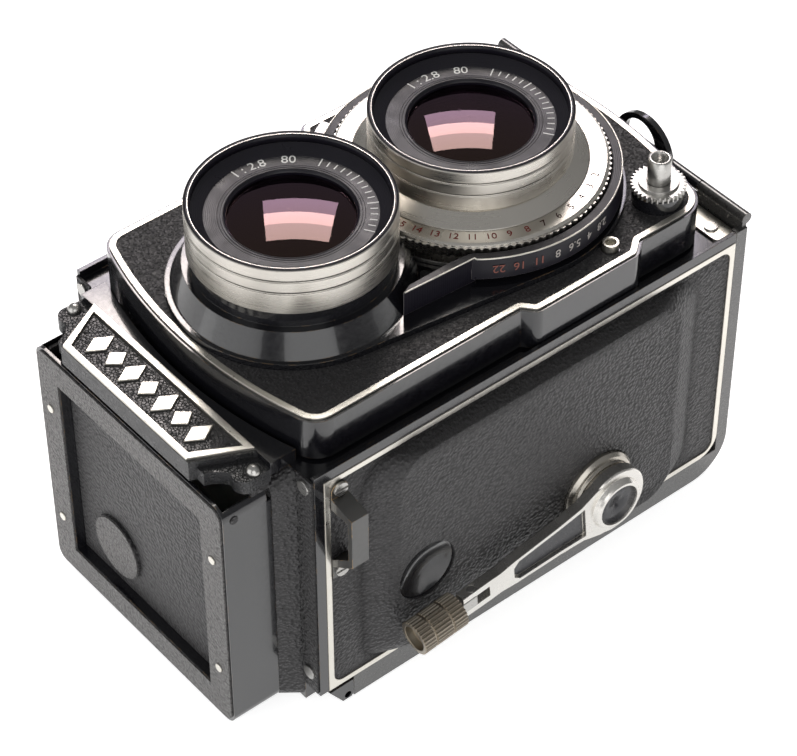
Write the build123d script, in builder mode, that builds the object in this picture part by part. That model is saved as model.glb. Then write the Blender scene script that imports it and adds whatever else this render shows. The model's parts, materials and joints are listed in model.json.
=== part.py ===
from build123d import *
import os
from math import acos, atan2, cos, pi, radians, sin, sqrt

# Twin lens reflex camera, millimetres. +Z up, lenses face -Y, origin at the mouth of the
# tripod socket in the middle of the bottom cover. The crank is on the -X side.

# ---- Driving dimensions -------------------------------------------------------------
half_w = 38.8          # half the body's width
front = -34.5          # front edges of the side walls
face = -32.5           # front wall between the side walls
back = 34.5            # outer face of the back cover
top = 114.1            # top of the body
flange_y = 28.5        # where the back cover's side flange starts
flange_z = 3.1         # top of the bottom cover's side flange
cover_top = 105.4      # upper end of the back cover
cover_wall = 1.2       # wall of the back and bottom cover
slip = 0.1             # gap between parts that part or slide
run = 0.05             # radial clearance of turning and sliding fits

take_z = 42.4          # taking lens axis
view_z = 88.2          # viewing lens axis
barrel_r = 21.0        # slip-on rim of both lenses
view_front = -64.6     # front rim of the viewing lens
take_front = -64.1     # front rim of the taking lens
panel_back = -33.2     # rear edge of the focusing panel

crank_y = 12.0
crank_z = 42.2
crank_lean = 5.5       # lean of the folded crank towards the back, degrees
crank_reach = 38.6     # crank axis to the handle's fold axis
handle_x = -46.6       # middle of the folded handle
take_up = (17.0, 84.8)     # take-up spool axis, (y, z)
supply = (-18.0, 14.6)     # supply spool axis, (y, z)
spool_r = 12.5
focus = (6.0, 52.0)    # focusing knob axis, (y, z)
roller_r = 2.6
roller_y = 27.6
roller_z = (10.8, 73.6)    # lower and upper film roller

hood_z = 118.6         # top of the hood base
lid_top = 130.55
lid_hinge = (-26.4, 127.6)     # lid axis, (y, z)
flap_x = 29.0          # side flap axes
flap_z = 119.6         # flap axes
back_hinge = (33.2, 107.0)     # back cover axis, (y, z)
latch = (-36.6, 0.0)   # latch axis, (y, z)
release = (-27.4, 15.5)    # release button axis, (x, z)
sync = (-32.6, 33.2)   # flash socket axis, (x, z)


# ---- Helpers ------------------------------------------------------------------------
def block(x0, x1, y0, y1, z0, z1, mode=Mode.ADD):
    """A box between two corners, in the part being built."""
    with Locations(((x0 + x1) / 2, (y0 + y1) / 2, (z0 + z1) / 2)):
        Box(x1 - x0, y1 - y0, z1 - z0, mode=mode)


def bar_x(y, z, r, x0, x1, mode=Mode.ADD):
    """A cylinder along X."""
    with Locations(((x0 + x1) / 2, y, z)):
        Cylinder(r, x1 - x0, rotation=(0, 90, 0), mode=mode)


def bar_y(x, z, r, y0, y1, mode=Mode.ADD):
    """A cylinder along Y."""
    with Locations((x, (y0 + y1) / 2, z)):
        Cylinder(r, y1 - y0, rotation=(90, 0, 0), mode=mode)


def closed_face(points, mode=Mode.ADD):
    """A face inside a closed chain of straight lines, in the sketch being drawn."""
    with BuildLine() as chain:
        Polyline(*points, close=True)
    make_face(chain.edges(), mode=mode)


def turn_y(x, z, points, mode=Mode.ADD):
    """A solid turned about an axis along Y, from (radius, y) points."""
    with BuildSketch(Plane.XY.offset(z)) as profile:
        closed_face([(x + r, y) for r, y in points])
    revolve(profile.sketch, axis=Axis((x, 0, z), (0, 1, 0)), mode=mode)


def turn_x(y, z, points, mode=Mode.ADD):
    """A solid turned about an axis along X, from (x, radius) points."""
    with BuildSketch(Plane.XY.offset(z)) as profile:
        closed_face([(x, y + r) for x, r in points])
    revolve(profile.sketch, axis=Axis((0, y, z), (1, 0, 0)), mode=mode)


def toothed(count, r_out, r_in, centre=(0, 0), phase=0.0, tip=0.25, root=0.25):
    """A toothed wheel's outline; tip and root are the teeth's and gaps' shares of the pitch."""
    points = []
    for k in range(count):
        for r, share in ((r_in, -0.5 + root / 2), (r_out, -tip / 2), (r_out, tip / 2),
        (r_in, 0.5 - root / 2)):
            angle = phase + 2 * pi * (k + share) / count
            points.append((centre[0] + r * cos(angle), centre[1] + r * sin(angle)))
    return points


def facing(y):
    """Sketch plane at depth y, seen from the front: local x is X and local y is Z."""
    return Plane.XZ.offset(-y)


def side(x):
    """Sketch plane at width x: local x is Y and local y is Z."""
    return Plane.YZ.offset(x)


# ---- Body ---------------------------------------------------------------------------
trim_w = 1.3           # width of the bright trim line on the sides
trim_y = (-32.0, flange_y - slip)      # its outer edges
trim_z = (flange_z + slip, 111.8)
pocket = 0.6           # depth of the leather pocket
swell = 3.2            # how far the winding side stands out under its leather
leather_t = 0.5
scoop = (5.6, 88.6)    # finger scoop under the crank handle, (y, z)
scoop_r = 7.3
window = (22.0, 50.8)  # exposure counter window, (y, z)
window_r = 3.9
crank_flange_r = 9.2
corner_out = 9.5       # rounding of the cover's lower rear corner


def side_frame(inset):
    """The side panel's outline, drawn in by an inset."""
    with Locations(((trim_y[0] + trim_y[1]) / 2, (trim_z[0] + trim_z[1]) / 2)):
        Rectangle(trim_y[1] - trim_y[0] - 2 * inset, trim_z[1] - trim_z[0] - 2 * inset)


def swell_loft(x_flat, grow, mode=Mode.ADD):
    """The raised pad of the winding side, from the flat wall outwards."""
    with BuildSketch(side(-x_flat)) as foot:
        with Locations((-1.3, 58.0)):
            RectangleRounded(55.8 + 2 * grow, 91.0 + 2 * grow, 7.0)
    with BuildSketch(side(-half_w - swell + leather_t - grow)) as crown:
        with Locations((-0.9, 58.0)):
            RectangleRounded(54.0 + 2 * grow, 74.0 + 2 * grow, 7.0)
    loft([foot.sketch, crown.sketch], mode=mode)


chamber_x = 33.4       # half width of the film chamber
core_x = 37.0          # half width of the body inside the cover
gear_in = -34.7        # gear cavity, x
gear_out = -38.9
pad_x = -half_w - swell + leather_t    # face of the pad under the leather
skin_x = -half_w - swell               # face of the leather on the pad

crank_teeth = 24
idler_teeth = 25
spool_teeth = 16
mesh_gap = 0.05        # extra centre distance, for backlash
reach_1 = (crank_teeth + idler_teeth) / 2 + mesh_gap
reach_2 = (idler_teeth + spool_teeth) / 2 + mesh_gap
span = sqrt((take_up[0] - crank_y) ** 2 + (take_up[1] - crank_z) ** 2)
line = atan2(take_up[1] - crank_z, take_up[0] - crank_y)
bend = acos((reach_1 ** 2 + span ** 2 - reach_2 ** 2) / (2 * reach_1 * span))
idler = (crank_y + reach_1 * cos(line + bend), crank_z + reach_1 * sin(line + bend))

with BuildPart() as body_shell:
    block(-half_w, half_w, front, flange_y, flange_z, top)
    block(-33.8, 33.8, flange_y - 1, 33.6, 109.0, top)
    with BuildSketch(side(-core_x)) as core:
        with Locations(((face + 32.9) / 2, 53.0)):
            Rectangle(32.9 - face, 103.2)
        fillet(core.vertices().group_by(Axis.Y)[0].sort_by(Axis.X)[-1], corner_out - 1.4)
    extrude(amount=2 * core_x)
    for x0 in (-half_w, 34.0):
        with BuildSketch(side(x0)):
            closed_face([
                (28.0, 105.5), (33.2, 105.5), (33.9, 105.67), (34.4, 106.1), (34.4, 108.3),
                (33.8, 108.7),
                (28.8, 112.1), (28.0, 112.1),
            ])
        extrude(amount=half_w - 34.0)
    for x0 in (-half_w - 1, half_w - pocket):
        block(x0, x0 + 1 + pocket, trim_y[0], flange_y + 1, flange_z - 1, trim_z[1], mode=Mode.SUBTRACT)
    swell_loft(half_w - pocket - 0.5, 0.0)
    block(-37.85, 37.85, front - 1, face, 0, top + 1, mode=Mode.SUBTRACT)
    block(-chamber_x, chamber_x, face + 1.6, back + 5, 0, 104.7, mode=Mode.SUBTRACT)
    block(-chamber_x, chamber_x, face + 1.6, 26.9, 104, 111.9, mode=Mode.SUBTRACT)
    block(gear_out, gear_in, -16, 26.0, 27, 98, mode=Mode.SUBTRACT)
    block(34.7, 37.0, -8, 20, 38, 66, mode=Mode.SUBTRACT)
    block(-28, 28, -27, 25, 111, top + 1, mode=Mode.SUBTRACT)
    block(-30, 30, -29, 27, 112.2, top + 1, mode=Mode.SUBTRACT)
    bar_y(0, take_z, 23.0, face - 1, face + 3, mode=Mode.SUBTRACT)
    bar_y(0, view_z, 18.0, face - 1, face + 3, mode=Mode.SUBTRACT)
    for z in roller_z:
        bar_x(roller_y, z, 1.2 + run, -34.6, 34.6, mode=Mode.SUBTRACT)
    bar_x(crank_y, crank_z, 3.0 + run, -50, gear_in - 0.5, mode=Mode.SUBTRACT)
    bar_x(take_up[0], take_up[1], 3.0 + run, gear_in - 1, -33, mode=Mode.SUBTRACT)
    bar_x(idler[0], idler[1], 1.5, gear_out - 0.5, gear_in + 0.3)
    bar_x(supply[0], supply[1], 3.0, -chamber_x - 0.5, -29.5)
    for spool in (take_up, supply):
        bar_x(spool[0], spool[1], 2.5 + run, 33, half_w + 1, mode=Mode.SUBTRACT)
    bar_x(focus[0], focus[1], 3.0 + run, 33, half_w + 1, mode=Mode.SUBTRACT)
    bar_x(window[0], window[1], window_r - 0.7, pad_x - 1, pad_x + 1, mode=Mode.SUBTRACT)
    with Locations((pad_x - 11.3, scoop[0], scoop[1])):
        Sphere(13.2, mode=Mode.SUBTRACT)
    for x in (-30.0, 0.0, 30.0):
        bar_x(back_hinge[0], back_hinge[1], 1.5, x - 4, x + 4)
    block(-34, 34, flange_y - 1, back_hinge[0], back_hinge[1] + 1.5, 109.5)
    for x in (-30.0, 0.0, 30.0):
        block(x - 4, x + 4, back_hinge[0] - 0.4, back_hinge[0] + 0.4, back_hinge[1], 109.2)
    bar_x(back_hinge[0], back_hinge[1], 0.8 + run, -40, 40, mode=Mode.SUBTRACT)

with BuildPart() as body_trim:
    for x in (-half_w - 0.15, half_w - pocket):
        with BuildSketch(side(x)):
            side_frame(0)
            with Locations(((trim_y[0] + trim_y[1]) / 2, (trim_z[0] + trim_z[1]) / 2)):
                RectangleRounded(
                    trim_y[1] - trim_y[0] - 2 * trim_w, trim_z[1] - trim_z[0] - 2 * trim_w, 2.5,
                    mode=Mode.SUBTRACT,
                )
        extrude(amount=pocket + 0.15)
    edges = body_trim.edges().filter_by(Axis.X).filter_by_position(Axis.Y, 20, 30)
    fillet(edges.filter_by_position(Axis.Z, 0, 4), 5.0)
    with BuildSketch(facing(-35.8)):
        closed_face([(-26.3, 118.5), (26.3, 118.5), (20.3, 130.3), (-20.3, 130.3)])
        closed_face([(-24.5, 119.9), (24.5, 119.9), (19.3, 129.0), (-19.3, 129.0)], mode=Mode.SUBTRACT)
    extrude(amount=0.7)

with BuildPart() as body_leather:
    for x in (-half_w + pocket - leather_t, half_w - pocket):
        with BuildSketch(side(x)):
            with Locations(((trim_y[0] + trim_y[1]) / 2, (trim_z[0] + trim_z[1]) / 2)):
                RectangleRounded(
                    trim_y[1] - trim_y[0] - 2 * trim_w - 0.04,
                    trim_z[1] - trim_z[0] - 2 * trim_w - 0.04,
                    2.5,
                )
        extrude(amount=leather_t)
    swell_loft(half_w - pocket, leather_t)
    swell_loft(half_w - pocket - 0.5, 0.0, mode=Mode.SUBTRACT)
    bar_x(crank_y, crank_z, crank_flange_r + 0.1, -50, -30, mode=Mode.SUBTRACT)
    bar_x(window[0], window[1], window_r + 0.1, -50, -30, mode=Mode.SUBTRACT)
    bar_x(scoop[0], scoop[1], scoop_r - 0.1, -50, -30, mode=Mode.SUBTRACT)
    for spool in (take_up, supply):
        bar_x(spool[0], spool[1], 4.0, 30, 50, mode=Mode.SUBTRACT)
    bar_x(focus[0], focus[1], 6.0, 30, 50, mode=Mode.SUBTRACT)
    for x in (-38.5, 33.9):
        block(x, x + 4.6, front + 1.2, 27.6, top, top + 0.5)

with BuildPart() as hood_base:
    with BuildSketch(Plane.XY.offset(top)):
        with Locations((0, 0.6)):
            RectangleRounded(67.4, 66.0, 3.0)
    with BuildSketch(Plane.XY.offset(hood_z)):
        with Locations((0, 1.5)):
            RectangleRounded(62.2, 62.4, 3.0)
    loft()
    block(-28.3, 28.3, -25.4, 29.4, top - 1, hood_z + 1, mode=Mode.SUBTRACT)
    block(-30.5, 30.5, -30.9, -28.9, hood_z, 122.8)
    for x in (-29.4, 29.4):
        block(x - 0.4, x + 0.4, -27.9, -24.9, hood_z - 0.5, lid_hinge[1])
        bar_x(lid_hinge[0], lid_hinge[1], 1.5, x - 0.4, x + 0.4)
        x0, x1 = sorted((x, x + 1.9 * x / abs(x)))
        bar_x(lid_hinge[0], lid_hinge[1], 0.9, x0, x1)

with BuildPart() as front_cowl:
    with BuildSketch(facing(face)):
        with BuildLine():
            ThreePointArc((-31.0, 112.3), (0, 116.9), (31.0, 112.3))
            Polyline((31.0, 112.3), (31.0, 118.4), (-31.0, 118.4), (-31.0, 112.3))
        make_face()
    extrude(amount=3.2)

with BuildPart() as nameplate:
    with BuildSketch(facing(-31.0)):
        closed_face([(-27.0, 118.4), (27.0, 118.4), (21.0, 130.4), (-21.0, 130.4)])
    extrude(amount=4.8)
    with BuildSketch(facing(-31.0)):
        with BuildLine():
            Polyline((0, 118.4), (31.0, 118.4), (31.2, 123.0))
            ThreePointArc((31.2, 123.0), (29.6, 125.2), (27.2, 125.0))
            ThreePointArc((27.2, 125.0), (25.4, 126.4), (24.0, 129.0))
            Polyline((24.0, 129.0), (0, 129.0), (0, 118.4))
        make_face()
        mirror(about=Plane.YZ)
    extrude(amount=3.2)

with BuildPart() as focusing_screen:
    block(-29.9, 29.9, -28.9, 26.9, 112.25, 113.7)

mirror_plane = Plane(origin=(0, -1.0, view_z - 1.0), x_dir=(1, 0, 0), z_dir=(0, -1, 1))
with BuildPart() as reflex_mirror:
    with BuildSketch(mirror_plane):
        Rectangle(56, 52)
    extrude(amount=-1.2)
    chamfer(reflex_mirror.edges().filter_by(Axis.X).group_by(Axis.Z)[-1], 0.3)

with BuildPart() as film_chamber:
    with BuildSketch(facing(-22.0)):
        with Locations((0, take_z)):
            Rectangle(24, 24)
    with BuildSketch(facing(26.9)):
        with Locations((0, take_z)):
            Rectangle(57, 57)
    loft()
    with BuildSketch(facing(26.9)):
        with Locations((0, take_z)):
            Rectangle(66.6, 57)
    extrude(amount=-1.3)
    with BuildSketch(facing(-23.0)):
        with Locations((0, take_z)):
            Rectangle(21.5, 21.5)
    with BuildSketch(facing(29.0)):
        with Locations((0, take_z)):
            Rectangle(55.6, 55.6)
    loft(mode=Mode.SUBTRACT)

with BuildPart() as crank_flange:
    turn_x(crank_y, crank_z, [
        (pad_x, 3.05), (pad_x, crank_flange_r), (pad_x - 1.2, crank_flange_r - 0.1),
        (pad_x - 2.0, crank_flange_r - 0.7), (pad_x - 2.2, 7.9), (pad_x - 2.9, 7.7), (pad_x - 2.9, 3.05),
    ])
    turn_x(window[0], window[1], [
        (pad_x, 3.0), (pad_x, window_r), (skin_x - 0.5, window_r), (skin_x - 0.8, window_r - 0.4),
        (skin_x - 0.8, 3.0), (pad_x - 0.3, 2.6), (pad_x - 0.3, 0), (pad_x, 0),
    ])

lug_y = (-25.6, -12.7)
lug_z = (106.3, 110.4)
with BuildPart() as strap_lugs:
    for s in (-1, 1):
        with BuildSketch(Plane.XY.offset(lug_z[0])):
            closed_face([
                (s * (half_w - 0.1), lug_y[0] - 4.9), (s * (half_w + 0.5), lug_y[0] - 4.9),
                (s * (half_w + 0.5), lug_y[0] - 1.4), (s * (half_w + 6.6), lug_y[0]),
                (s * (half_w + 6.6), lug_y[1]), (s * (half_w + 0.5), lug_y[1] + 4.5),
                (s * (half_w + 0.5), lug_y[1] + 8.0), (s * (half_w - 0.1), lug_y[1] + 8.0),
                (s * (half_w - 0.1), lug_y[1] + 3.0), (s * (half_w + 5.4), lug_y[1] - 1.4),
                (s * (half_w + 5.4), lug_y[0] + 1.4), (s * (half_w - 0.1), lug_y[0] + 1.4),
            ])
        extrude(amount=lug_z[1] - lug_z[0])
    fillet(strap_lugs.edges().filter_by(Axis.X).group_by(Axis.Y)[0], 2.04)

with BuildPart() as body_screws:
    for s in (-1, 1):
        for y in (lug_y[0] - 3.4, lug_y[1] + 6.2):
            bar_x(y, 108.3, 1.6, *sorted((s * (half_w + 0.5), s * (half_w + 1.1))))
            block(*sorted((s * (half_w + 0.8), s * (half_w + 1.3))), y - 0.25, y + 0.25, 106, 111,
                  mode=Mode.SUBTRACT)
        for y in (-31.0, 22.5):
            with Locations((s * 36.3, y, top + 0.75)):
                Cylinder(1.6, 0.5)
                Box(4, 0.5, 0.3, mode=Mode.SUBTRACT)
        bar_y(s * 32.8, 4.6, 1.5, face - 1.05, face - 0.6)
        with Locations((s * 29.4, -34.2, 121.3)):
            Sphere(1.5)
    block(-32, 32, -34.2, -30, 117, 124, mode=Mode.SUBTRACT)

with BuildPart() as catch_plate:
    with BuildSketch(facing(face)):
        with Locations((0, 4.2)):
            RectangleRounded(74.0, 5.2, 1.5)
    extrude(amount=0.6)

# ---- Focusing panel with both lenses --------------------------------------------------
plate_y = -42.9        # metal face under the panel's leather and trim
housing_y = -44.6      # face of the lens housing plate
case_r = 24.0          # shutter case
tube_r = 22.5          # light tube behind the shutter
glass_r = 12.8         # front glasses
boss_y = -46.4         # end of the release button's boss

with BuildSketch(mode=Mode.PRIVATE) as panel_shape:
    with BuildLine():
        ThreePointArc((-33.6, 109.1), (0, 114.5), (33.6, 109.1))
        Polyline((33.6, 109.1), (33.7, 58.4), (36.4, 56.1), (36.4, 30.5), (33.8, 27.2), (33.8, 10.0))
        ThreePointArc((33.8, 10.0), (0, 4.5), (-33.8, 10.0))
        Polyline((-33.8, 10.0), (-33.8, 27.2), (-36.4, 30.5), (-36.4, 56.1), (-33.7, 58.4),
        (-33.6, 109.1))
    make_face()
    fillet(panel_shape.vertices().group_by(Axis.Y)[-1], 4.25)
    fillet(panel_shape.vertices().filter_by_position(Axis.Y, 9.5, 10.5), 6.0)
    fillet(panel_shape.vertices().filter_by_position(Axis.Y, 27, 59), 1.2)

with BuildSketch(mode=Mode.PRIVATE) as housing_shape:
    with Locations((0, take_z)):
        Circle(32.0)
    with Locations((0, view_z)):
        Circle(25.5)
    make_hull()

with BuildPart() as front_panel:
    with BuildSketch(facing(panel_back)):
        offset(panel_shape.sketch, amount=1.25)
    extrude(amount=panel_back - plate_y)
    with BuildSketch(facing(panel_back)):
        offset(panel_shape.sketch, amount=-1.0)
    extrude(amount=panel_back - plate_y - 1.5, mode=Mode.SUBTRACT)
    bar_y(release[0], release[1], 5.4, boss_y, plate_y + 1.5)
    bar_y(release[0], release[1], 2.45 + run, boss_y - 1, -30, mode=Mode.SUBTRACT)
    bar_y(0, take_z, case_r, plate_y - 1, -30, mode=Mode.SUBTRACT)
    bar_y(0, view_z, 17.8, plate_y - 1, -30, mode=Mode.SUBTRACT)

with BuildPart() as front_trim:
    with BuildSketch(facing(plate_y)):
        offset(panel_shape.sketch, amount=0.65)
        offset(panel_shape.sketch, amount=-0.65, mode=Mode.SUBTRACT)
    extrude(amount=0.45)
    turn_y(sync[0], sync[1], [
        (1.0, -44.2), (1.2, -44.9), (1.7, -44.9), (1.75, plate_y), (0, plate_y), (0, -43.5),
        (0.4, -43.5),
        (0.4, -43.2), (1.0, -43.2),
    ])

with BuildPart() as front_leather:
    with BuildSketch(facing(plate_y)):
        offset(panel_shape.sketch, amount=-0.67)
        offset(housing_shape.sketch, amount=0.05, mode=Mode.SUBTRACT)
        with Locations(release):
            Circle(5.45, mode=Mode.SUBTRACT)
        with Locations(sync):
            Circle(2.0, mode=Mode.SUBTRACT)
    extrude(amount=0.35)

with BuildPart() as lens_housing:
    with BuildSketch(facing(plate_y)):
        add(housing_shape.sketch)
    extrude(amount=plate_y - housing_y)
    turn_y(0, view_z, [
        (16.4, -27.0), (17.8, -27.0), (17.8, plate_y), (24.5, plate_y), (24.5, housing_y), (22.0, -49.9),
        (20.4, -49.9), (20.4, -53.7), (16.4, -53.7),
    ])
    bar_y(0, view_z, 16.4, -55, -25, mode=Mode.SUBTRACT)
    bar_y(0, take_z, case_r, -52.2, -40, mode=Mode.SUBTRACT)
    bar_y(0, take_z, 28.85, -52.2, -48.8, mode=Mode.SUBTRACT)
    bar_y(0, take_z, 27.1, -45.7, housing_y, mode=Mode.SUBTRACT)


def barrel_profile(y_front, y_back):
    """Slip-on barrel with two grooves outside, as (radius, y) points."""
    points = [(17.2, y_back), (barrel_r, y_back)]
    for groove in (5.8, 2.9):
        y = y_front + groove
        inner = barrel_r - 0.4
        points += [(barrel_r, y + 0.3), (inner, y + 0.3), (inner, y - 0.3), (barrel_r, y - 0.3)]
    return points + [
        (barrel_r, y_front + 0.2), (barrel_r - 0.3, y_front), (barrel_r - 1.0, y_front),
        (barrel_r - 1.2, y_front + 0.3), (barrel_r - 1.2, y_front + 5.9), (17.2, y_front + 5.9),
    ]


def glass(z, y_front, r, bulge, thick):
    """A round glass with a domed front, its rim at y_front."""
    with BuildSketch(Plane.XY.offset(z)) as profile:
        with BuildLine() as edge:
            ThreePointArc((0, y_front - bulge), (r / 2, y_front - bulge * 0.75), (r, y_front))
            Polyline((r, y_front), (r, y_front + thick), (0, y_front + thick), (0, y_front - bulge))
        make_face(edge.edges())
    revolve(profile.sketch, axis=Axis((0, 0, z), (0, 1, 0)))


with BuildPart() as viewing_barrel:
    turn_y(0, view_z, barrel_profile(view_front, -53.7))

with BuildPart() as taking_barrel:
    turn_y(0, take_z, barrel_profile(take_front, -54.6))
    turn_y(0, take_z, [(17.2, -54.7), (20.3, -54.7), (20.3, -54.5), (24.3, -52.0), (17.2, -52.0)])

with BuildPart() as name_rings:
    for z, y_front in ((view_z, view_front), (take_z, take_front)):
        turn_y(0, z, [
            (19.75, y_front + 1.8), (17.2, y_front + 3.5), (13.3, y_front + 3.5),
            (glass_r + 0.05, y_front + 4.0),
            (glass_r + 0.05, y_front + 5.85), (19.75, y_front + 5.85),
        ])

with BuildPart() as viewing_lens:
    glass(view_z, view_front + 4.6, glass_r, 1.5, 3.0)
    glass(view_z, -40.0, 16.35, 1.0, 4.0)

with BuildPart() as taking_lens:
    glass(take_z, take_front + 4.6, glass_r, 1.6, 3.0)
    glass(take_z, -38.0, 12.45, 1.0, 5.0)

with BuildPart() as shutter_case:
    turn_y(0, take_z, [
        (12.5, -52.0), (case_r, -52.0), (case_r, plate_y + 1.5), (tube_r, plate_y + 1.5),
        (tube_r, -24.5),
        (12.5, -24.5), (12.5, -46.1), (22.3, -46.1), (22.3, -48.9), (12.5, -48.9),
    ])


def ray(r, angle):
    """The point (x, z) at a radius and an angle in degrees about the taking lens axis."""
    return (r * cos(radians(angle)), take_z + r * sin(radians(angle)))


band_end = 40     # the band's ends above the horizontal, clear of the viewing mount
with BuildPart() as scale_band:
    turn_y(0, take_z, [
        (case_r, -48.8), (28.9, -48.8), (28.9, -50.3), (29.1, -50.5), (30.7, -50.5), (30.9, -50.3),
        (31.4, -45.7), (28.9, -45.7), (28.9, -47.8), (case_r, -47.8),
    ])
    with BuildSketch(facing(-45.0)):
        closed_face([ray(0, 0), ray(60, band_end), ray(80, 90), ray(60, 180 - band_end)])
    extrude(amount=7, mode=Mode.SUBTRACT)
    for s in (-1, 1):
        with BuildSketch(facing(housing_y)):
            closed_face([
                (s * 23.9, 61.4), (s * 22.8, 78.9), (s * 21.6, 76.4), (s * 21.6, 66.0), (s * 22.2, 61.4),
            ])
        extrude(amount=housing_y + 50.5)

# ---- Shutter and aperture settings -----------------------------------------------------
knurl_teeth = 110
with BuildPart() as speed_ring:
    turn_y(0, take_z, [
        (case_r + run, -51.9), (24.4, -52.0), (27.8, -52.0), (28.3, -51.6), (28.3, -49.0),
        (case_r + run, -49.0),
    ])
    with BuildSketch(facing(-49.0)):
        closed_face(toothed(knurl_teeth, 28.75, 28.35, (0, take_z)))
        with Locations((0, take_z)):
            Circle(28.0, mode=Mode.SUBTRACT)
    extrude(amount=2.2)

lever_angle = 30.0
with BuildPart() as aperture_lever:
    turn_y(0, take_z, [(case_r + run, -45.6), (27.0, -45.6), (27.0, -44.7), (case_r + run, -44.7)])
    with BuildSketch(facing(-44.7)) as arm:
        with Locations((0, take_z)):
            Circle(33.8)
            Circle(31.6, mode=Mode.SUBTRACT)
        with BuildLine() as wedge:
            Polyline(ray(0, 0), ray(50, lever_angle - 5), ray(50, lever_angle + 5), close=True)
        make_face(wedge.edges(), mode=Mode.INTERSECT)
    extrude(amount=4.0)
    with BuildSketch(facing(-44.7)):
        with Locations((0, take_z)):
            Circle(33.8)
            Circle(26.5, mode=Mode.SUBTRACT)
        make_face(wedge.edges(), mode=Mode.INTERSECT)
    extrude(amount=0.9)

blade_in = 13.0
blade_out = 20.4
blade_span = 100.0     # degrees of arc that one iris blade covers
blade_count = 5
iris = []
for k in range(blade_count):
    turn = 360.0 / blade_count * k
    with BuildPart() as blade:
        with BuildSketch(facing(-46.3 - 0.5 * k)):
            with Locations((0, take_z)):
                Circle(blade_out)
                Circle(blade_in, mode=Mode.SUBTRACT)
            with BuildLine() as sector:
                Polyline(
                    ray(0, 0), ray(40, turn), ray(60, turn + blade_span / 2), ray(40, turn + blade_span),
                    close=True,
                )
            make_face(sector.edges(), mode=Mode.INTERSECT)
        extrude(amount=0.3)
    iris.append(blade)
iris_blade_1, iris_blade_2, iris_blade_3, iris_blade_4, iris_blade_5 = iris

# ---- Release button and its lock -------------------------------------------------------
with BuildPart() as release_button:
    bar_y(release[0], release[1], 2.45, -57.2, -37.0)
    bar_y(release[0], release[1], 1.55, -58, -49.0, mode=Mode.SUBTRACT)


with BuildPart() as release_lock:
    with BuildSketch(facing(boss_y - 0.1)):
        closed_face(toothed(32, 5.8, 5.2, release))
    extrude(amount=1.1)
    bar_y(release[0], release[1], 4.2, boss_y - 1.8, boss_y - 1.2)
    bar_y(release[0], release[1], 2.45 + run, boss_y - 2, boss_y, mode=Mode.SUBTRACT)
    block(release[0] - 6, release[0] + 6, boss_y - 2, boss_y - 1.2, release[1] - 5, release[1] - 3.5,
          mode=Mode.SUBTRACT)

# ---- Focusing knob ----------------------------------------------------------------------
with BuildPart() as focus_knob:
    with BuildSketch(side(44.0)):
        closed_face(toothed(60, 13.4, 12.9, focus))
    extrude(amount=6.0)
    turn_x(focus[0], focus[1], [
        (35.0, 0), (35.0, 5.5), (36.7, 5.5), (36.7, 3.0), (39.1, 3.0), (39.1, 15.4), (40.6, 16.0),
        (42.6, 16.0),
        (44.0, 14.6), (44.1, 0),
    ])
    turn_x(focus[0], focus[1], [(50.0, 12.6), (50.6, 11.8), (50.6, 0), (49.9, 0), (49.9, 12.6)])

# ---- Winding crank -----------------------------------------------------------------------
lean_s = sin(radians(crank_lean))
lean_c = cos(radians(crank_lean))
hub_back = pad_x - 3.0
hub_face = -49.2
arm_face = -47.8       # outer face of the arm
arm_t = 2.4


def arm_plane(x):
    """Plane across X at the crank's axis: local x runs along the arm, local y to the front."""
    return Plane(origin=(x, crank_y, crank_z), x_dir=(0, lean_s, lean_c), z_dir=(1, 0, 0))


def both_sides(points):
    """An outline from its upper half, mirrored about the arm's middle line."""
    return points + [(along, -half) for along, half in reversed(points)]


def tooth_wheel(centre, count, phase, bore):
    """A spur gear of module 1 in the gear cavity."""
    with BuildSketch(side(-38.6)) as wheel:
        closed_face(toothed(count, count / 2 + 0.8, count / 2 - 1.1, centre, phase, 0.2, 0.36))
        with Locations(centre):
            Circle(bore, mode=Mode.SUBTRACT)
    extrude(wheel.sketch, amount=3.4)


to_idler = atan2(idler[1] - crank_z, idler[0] - crank_y)
to_spool = atan2(take_up[1] - idler[1], take_up[0] - idler[0])
idler_phase = to_idler + pi + (to_idler * crank_teeth - pi) / idler_teeth
spool_phase = to_spool + pi + ((to_spool - idler_phase) * idler_teeth - pi) / spool_teeth

with BuildPart() as idler_gear:
    tooth_wheel(idler, idler_teeth, idler_phase, 1.5 + run)

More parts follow.
